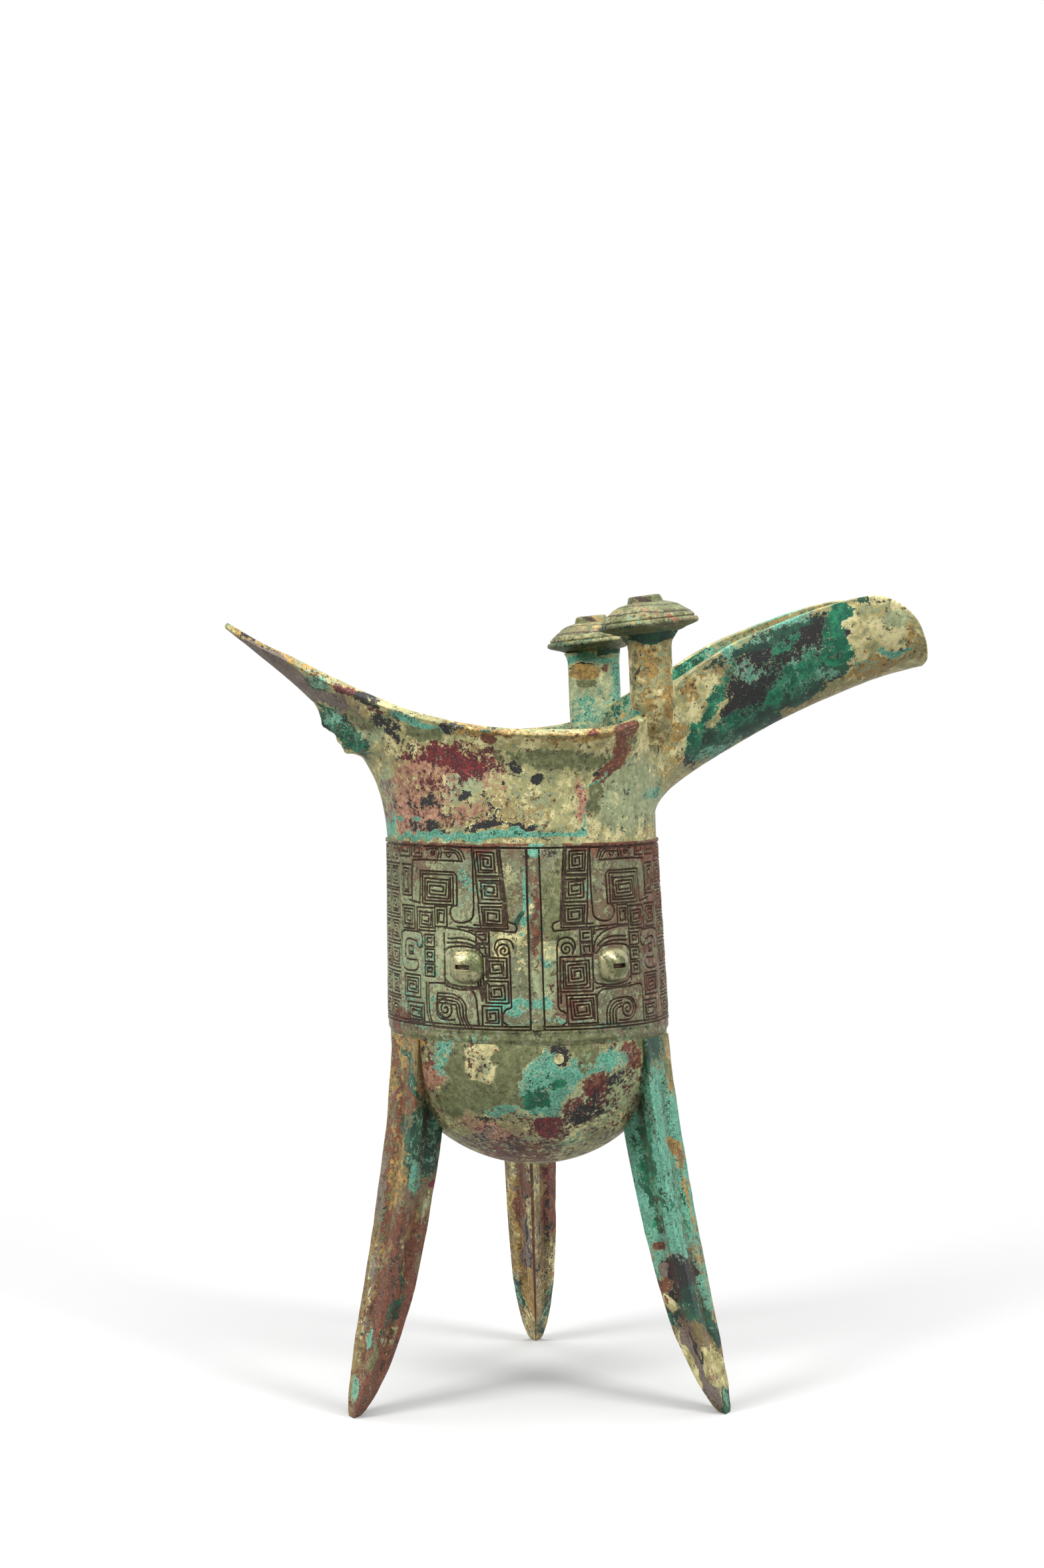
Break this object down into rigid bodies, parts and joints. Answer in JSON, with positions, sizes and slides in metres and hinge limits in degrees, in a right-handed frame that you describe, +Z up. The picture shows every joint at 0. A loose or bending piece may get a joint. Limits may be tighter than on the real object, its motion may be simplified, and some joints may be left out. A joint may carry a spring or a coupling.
{
  "type": "bronze tripod wine vessel",
  "caption": "Ritual bronze wine cup on blade legs, with a pouring spout, pointed tail, capped posts, loop handle and a mask band",
  "frame": {"origin": "On the ground, under the middle of the box that holds the whole vessel", "axes": "+Z up, +X along the spout, +Y towards the handle; the three feet stand on Z = 0"},
  "size_m": [0.1836, 0.0976, 0.2023],
  "materials": {
    "olive_patina": "olive-brown patina over cast bronze",
    "russet_patina": "reddish-brown patina over cast bronze",
    "pale_patina": "pale yellow-green patina over cast bronze",
    "green_patina": "malachite crust over cast bronze",
    "worn_bronze": "smooth worn bronze"
  },
  "bodies": {
    "root": {"bowl": "olive_patina", "ornament_band": "russet_patina", "mouth": "pale_patina", "spout": "green_patina", "tail": "pale_patina", "leg_tail_side": "russet_patina", "leg_spout_side": "russet_patina", "leg_handle_side": "russet_patina", "spacer_front": "worn_bronze", "spacer_spout_side": "worn_bronze", "spacer_tail_side": "worn_bronze", "mask_ridge": "olive_patina", "eye_front_tail_side": "worn_bronze", "eye_front_spout_side": "worn_bronze", "eye_rear_spout_side": "worn_bronze", "eye_rear_tail_side": "worn_bronze", "post_front": "pale_patina", "post_rear": "pale_patina", "post_cap_front": "olive_patina", "post_cap_rear": "olive_patina", "handle_loop": "olive_patina", "handle_ox_head": "olive_patina"}
  },
  "joints": []
}
